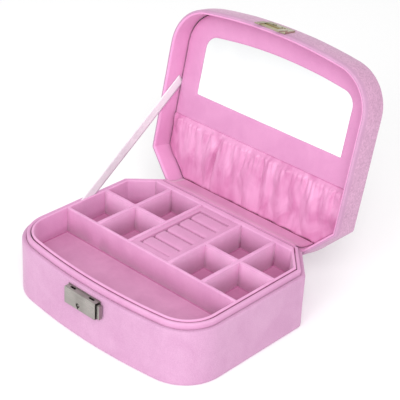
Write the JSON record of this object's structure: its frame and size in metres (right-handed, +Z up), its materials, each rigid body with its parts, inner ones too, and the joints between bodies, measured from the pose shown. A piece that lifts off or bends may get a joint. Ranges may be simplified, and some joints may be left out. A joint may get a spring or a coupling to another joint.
{
  "type": "jewelry box",
  "caption": "Velvet-covered jewelry box with a hinged mirror lid and gathered pocket, a ribbon stay, a lift-out tray with ring pad, and a push-button lock.",
  "frame": {"origin": "Centre of the box's underside, on the table, with the lock's plates left out", "axes": "X to the box's right as seen from its front, Y from the front to the back, Z up. The lid is open at rest."},
  "size_m": [0.22, 0.2459, 0.2253],
  "materials": {
    "foot_felt": "matt felt",
    "board": "plain grey-brown board, hidden",
    "pink_velvet": "short-pile flocked velvet, pale rosy pink with a silvery sheen",
    "neck_velvet": "smooth velvet, brighter pink",
    "inner_velvet": "velvet, dusky pink in shade",
    "hinge_cloth": "thin smooth cloth, dusky pink",
    "ribbon_satin": "satin ribbon, whitish pink",
    "lock_steel": "plated sheet steel, lightly scuffed",
    "spring_steel": "bare spring wire",
    "lock_dark": "dull steel",
    "tray_velvet": "short-pile velvet",
    "floor_velvet": "short-pile velvet, deeper pink in shade",
    "ring_velvet": "velvet over foam",
    "foam": "thin wadding, hidden",
    "frame_velvet": "velvet over a padded frame",
    "mirror": "silvered glass",
    "pocket_satin": "satin-faced cloth, gathered",
    "elastic": "woven elastic, hidden",
    "catch_metal": "plated brass, worn to a warm tone in places"
  },
  "bodies": {
    "base": {"base_foot_felt": "foot_felt", "base_bottom_board": "board", "base_wall": "board", "base_wrap": "pink_velvet", "neck_board": "board", "neck_cover": "neck_velvet", "tray_support": "inner_velvet", "base_floor_liner": "inner_velvet", "hinge_strip": "hinge_cloth", "spine_strip": "pink_velvet", "ribbon_stay": "ribbon_satin", "lock_backplate": "lock_steel", "lock_nails": "lock_steel", "lock_case": "lock_steel", "lock_spring": "spring_steel"},
    "lid": {"lid_wall": "board", "lid_wrap": "pink_velvet", "lid_inner_liner": "neck_velvet", "lid_top_board": "board", "lid_padding": "foam", "lid_top_cover": "pink_velvet", "lining_board": "board", "lining_frame": "frame_velvet", "mirror_glass": "mirror", "pocket_cloth": "pocket_satin", "pocket_elastic": "elastic", "catch_plate": "lock_steel", "catch_hooks": "catch_metal", "catch_lip": "catch_metal", "catch_rivets": "lock_steel"},
    "tray": {"tray_floor": "tray_velvet", "tray_rim": "tray_velvet", "long_divider": "tray_velvet", "middle_dividers": "tray_velvet", "cross_dividers": "tray_velvet", "ring_well_walls": "tray_velvet", "trough_liner": "tray_velvet", "compartment_liners": "floor_velvet"},
    "ring_pad": {"ring_pad_board": "board", "ring_pad_frame": "ring_velvet", "ring_rolls": "ring_velvet"},
    "lock_slide": {"latch_plate": "lock_steel", "lock_button": "lock_steel"},
    "lock_barrel": {"key_barrel": "lock_dark"}
  },
  "joints": [
    {"name": "lid_hinge", "type": "hinge", "parent": "base", "child": "lid", "pos_m": [0, 0.0871, 0.0492], "axis": [-1, 0, 0], "range_deg": [-101.4, 0], "deforming": ["hinge_strip", "spine_strip", "ribbon_stay"]},
    {"name": "tray_lift", "type": "slide", "parent": "base", "child": "tray", "axis": [0, 0, 1], "range_m": [0, 0.05]},
    {"name": "ring_pad_lift", "type": "slide", "parent": "tray", "child": "ring_pad", "axis": [0, 0, 1], "range_m": [0, 0.03]},
    {"name": "lock_press", "type": "slide", "parent": "base", "child": "lock_slide", "axis": [-1, 0, 0], "range_m": [0, 0.002], "stiffness_N_per_m": 600, "springref_m": -0.002, "deforming": ["lock_spring"]},
    {"name": "key_turn", "type": "hinge", "parent": "base", "child": "lock_barrel", "pos_m": [-0.0023, -0.09, 0.0373], "axis": [0, -1, 0], "range_deg": [-90, 0]}
  ]
}
